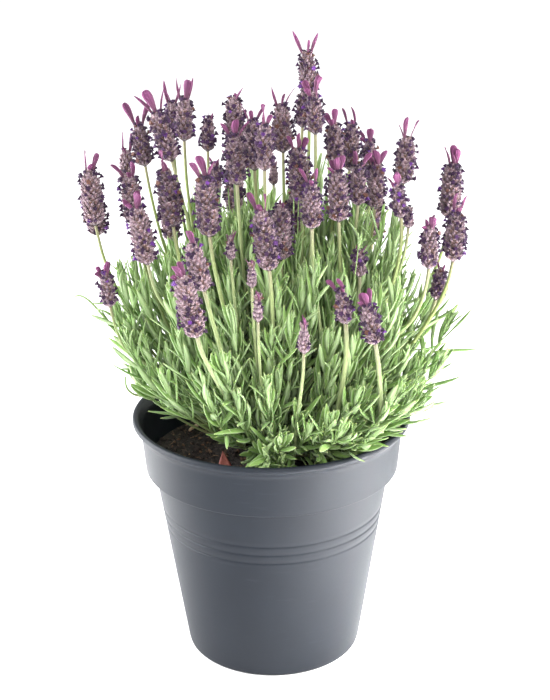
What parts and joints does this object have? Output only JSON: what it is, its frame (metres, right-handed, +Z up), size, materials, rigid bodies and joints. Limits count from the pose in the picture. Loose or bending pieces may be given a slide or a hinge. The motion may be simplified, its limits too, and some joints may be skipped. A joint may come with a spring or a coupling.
{
  "type": "potted lavender",
  "caption": "Flowering lavender plant in a round tapered plastic grower's pot with a collar and rolled rim, filled with soil.",
  "frame": {"origin": "centre of the pot's underside, on the surface that the pot stands on", "axes": "+Z up along the pot's axis; +X to the right and -Y to the front as the plant is usually seen"},
  "size_m": [0.2272, 0.2019, 0.382],
  "materials": {
    "pot_plastic": "satin",
    "soil": "matte",
    "bark": "matte",
    "foliage": "matte",
    "flower": "matte",
    "twig": "matte",
    "dry_leaf": "matte"
  },
  "bodies": {
    "root": {"dry_leaf": "dry_leaf", "flower_01": "flower", "flower_02": "flower", "flower_03": "flower", "flower_04": "flower", "flower_05": "flower", "flower_06": "flower", "flower_07": "flower", "flower_08": "flower", "flower_09": "flower", "flower_10": "flower", "flower_11": "flower", "flower_12": "flower", "flower_13": "flower", "flower_14": "flower", "flower_15": "flower", "flower_16": "flower", "flower_17": "flower", "flower_18": "flower", "flower_19": "flower", "flower_20": "flower", "flower_21": "flower", "flower_22": "flower", "flower_23": "flower", "flower_24": "flower", "flower_25": "flower", "flower_26": "flower", "flower_27": "flower", "flower_28": "flower", "flower_29": "flower", "flower_30": "flower", "flower_31": "flower", "flower_32": "flower", "flower_33": "flower", "flower_34": "flower", "flower_35": "flower", "flower_36": "flower", "flower_37": "flower", "flower_38": "flower", "flower_39": "flower", "flower_40": "flower", "flower_41": "flower", "flower_42": "flower", "flower_43": "flower", "flower_44": "flower", "flower_45": "flower", "flower_46": "flower", "flower_47": "flower", "flower_48": "flower", "leafy_branch_1": "foliage", "leafy_branch_2": "foliage", "leafy_branch_3": "foliage", "leafy_branch_4": "foliage", "leafy_branch_5": "foliage", "leafy_branch_6": "foliage", "leafy_branch_7": "foliage", "pot": "pot_plastic", "potting_soil": "soil", "twig": "twig", "woody_crown": "bark"}
  },
  "joints": []
}
